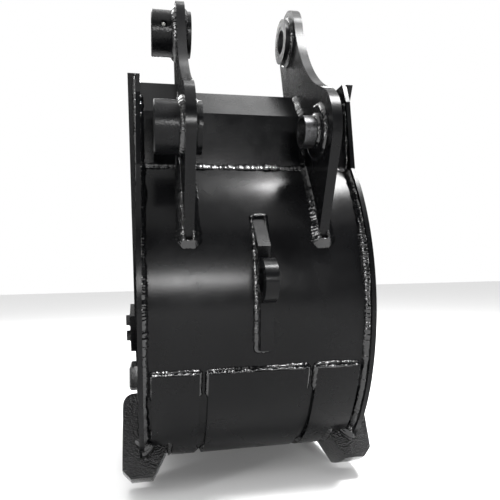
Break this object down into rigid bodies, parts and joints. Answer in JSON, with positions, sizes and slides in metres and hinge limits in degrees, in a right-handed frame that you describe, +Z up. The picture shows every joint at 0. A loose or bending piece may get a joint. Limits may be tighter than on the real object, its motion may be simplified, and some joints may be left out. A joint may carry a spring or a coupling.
{
  "type": "excavator bucket",
  "caption": "Excavator digging bucket: curved shell, side plates, twin pin ears, lifting eye, heel wear plates and shrouds, toothed cutting edge and side cutters.",
  "frame": {"origin": "centre of the stick pin bore", "axes": "+X along the pins, to the right seen from behind; +Y towards the mouth; +Z up with the bucket standing on its heel shrouds and teeth"},
  "size_m": [0.702, 1.174, 1.4065],
  "materials": {
    "plate_paint": "gloss enamel with orange peel",
    "cast_paint": "gloss paint on rough sand casting",
    "tooth_casting": "painted casting",
    "pin_steel": "painted over",
    "fastener_steel": "painted over, chipped on the corners",
    "bush_steel": "machined, overspray at the ends",
    "nipple_plating": "zinc plated"
  },
  "bodies": {
    "root": {"cutting_edge": "plate_paint", "ear_left": "plate_paint", "ear_right": "plate_paint", "heel_shroud_left": "cast_paint", "heel_shroud_right": "cast_paint", "hinge_back_plate_centre": "plate_paint", "hinge_back_plate_left": "plate_paint", "hinge_back_plate_right": "plate_paint", "hinge_box_floor": "plate_paint", "leading_edge_bar_left": "plate_paint", "leading_edge_bar_right": "plate_paint", "lifting_eye": "plate_paint", "link_boss_left": "plate_paint", "link_bush_left": "bush_steel", "link_bush_right": "bush_steel", "link_collar_left": "plate_paint", "link_collar_right": "plate_paint", "link_grease_nipple_left": "nipple_plating", "link_spacer_sleeve": "bush_steel", "mouth_plate_centre": "plate_paint", "mouth_plate_left": "plate_paint", "mouth_plate_right": "plate_paint", "side_cutter_bolts_left": "fastener_steel", "side_cutter_bolts_right": "fastener_steel", "side_cutter_left": "plate_paint", "side_cutter_nuts_left": "fastener_steel", "side_cutter_nuts_right": "fastener_steel", "side_cutter_right": "plate_paint", "side_cutter_washers_left": "fastener_steel", "side_cutter_washers_right": "fastener_steel", "side_plate_left": "plate_paint", "side_plate_right": "plate_paint", "side_wear_block_left": "cast_paint", "side_wear_block_right": "cast_paint", "stick_boss_left": "plate_paint", "stick_bush_left": "bush_steel", "stick_bush_right": "bush_steel", "stick_collar_left": "plate_paint", "stick_collar_right": "plate_paint", "stick_grease_nipple_left": "nipple_plating", "tooth_1": "tooth_casting", "tooth_2": "tooth_casting", "tooth_3": "tooth_casting", "tooth_4": "tooth_casting", "tooth_adapter_1": "cast_paint", "tooth_adapter_2": "cast_paint", "tooth_adapter_3": "cast_paint", "tooth_adapter_4": "cast_paint", "tooth_pins": "pin_steel", "wear_plate_centre": "plate_paint", "wear_plate_left": "plate_paint", "wear_plate_right": "plate_paint", "wrapper_shell": "plate_paint"}
  },
  "joints": []
}
